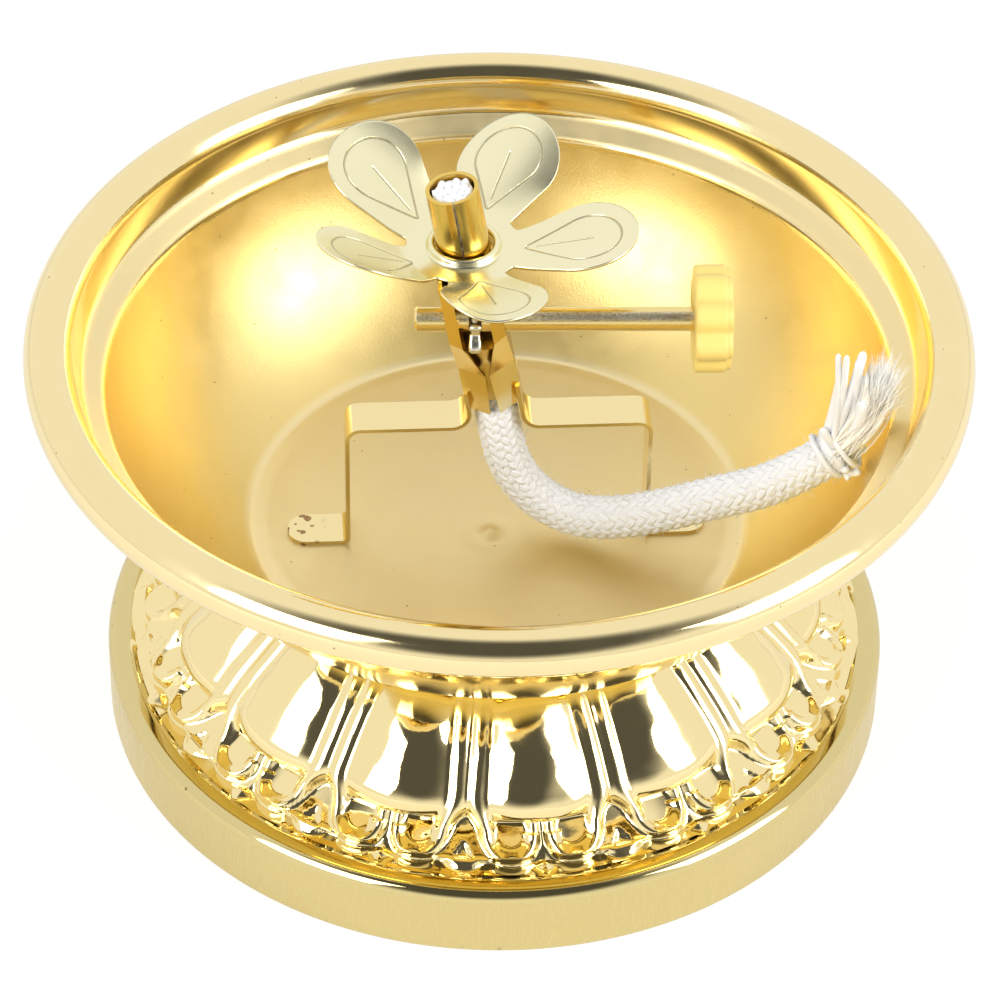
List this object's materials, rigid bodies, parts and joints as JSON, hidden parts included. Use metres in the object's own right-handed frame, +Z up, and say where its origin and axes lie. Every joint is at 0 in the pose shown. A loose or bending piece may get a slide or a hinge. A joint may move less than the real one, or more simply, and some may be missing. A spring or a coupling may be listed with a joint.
{
  "type": "butter lamp",
  "caption": "Pressed metal butter lamp: a wide round bowl with a rolled rim on a lotus foot, holding a wick tube with a flower collar and a knob that winds the wick up and down.",
  "frame": {"origin": "centre of the foot's lower rim, on the surface that the lamp stands on", "axes": "+Z up, along the bowl's axis; the pictured front faces -Y, and the knob points to +X"},
  "size_m": [0.116, 0.116, 0.0817],
  "materials": {
    "bowl_gold": "satin gold, lightly grained inside, semi-gloss rolled rim",
    "foot_gold": "bright polished gold petals over a satin band",
    "holder_gold": "polished gold strip with heat marks at the welds",
    "flower_gold": "pale champagne satin with stamped veins",
    "rod_gold": "drawn gold rod with a bright line of wear",
    "wheel_steel": "stamped bright metal",
    "knob_yellow": "smooth honey-yellow moulding",
    "wick_cotton": "white braided cotton with a frayed end"
  },
  "bodies": {
    "lamp": {"bowl": "bowl_gold", "foot": "foot_gold", "wick_holder": "holder_gold", "wick_tail": "wick_cotton", "wick_tuft": "wick_cotton"},
    "feed": {"spindle": "rod_gold", "feed_wheel": "wheel_steel", "knob": "knob_yellow"},
    "wick": {"wick_core": "wick_cotton"},
    "flower": {"flower_collar": "flower_gold"}
  },
  "joints": [
    {"name": "spindle_turn", "type": "hinge", "parent": "lamp", "child": "feed", "pos_m": [-0.00302, -0.00843, 0.06596], "axis": [0.9995, 0.0314, 0], "range_deg": [-67, 168]},
    {"name": "wick_feed", "type": "slide", "parent": "lamp", "child": "wick", "axis": [-0.1646, -0.0115, 0.9863], "range_m": [-0.004, 0.01]},
    {"name": "flower_lift", "type": "slide", "parent": "lamp", "child": "flower", "axis": [-0.1646, -0.0115, 0.9863], "range_m": [0, 0.012]}
  ],
  "couplings": [
    {"joint": "wick_feed", "follows": "spindle_turn", "m_per_rad": 0.0034}
  ]
}
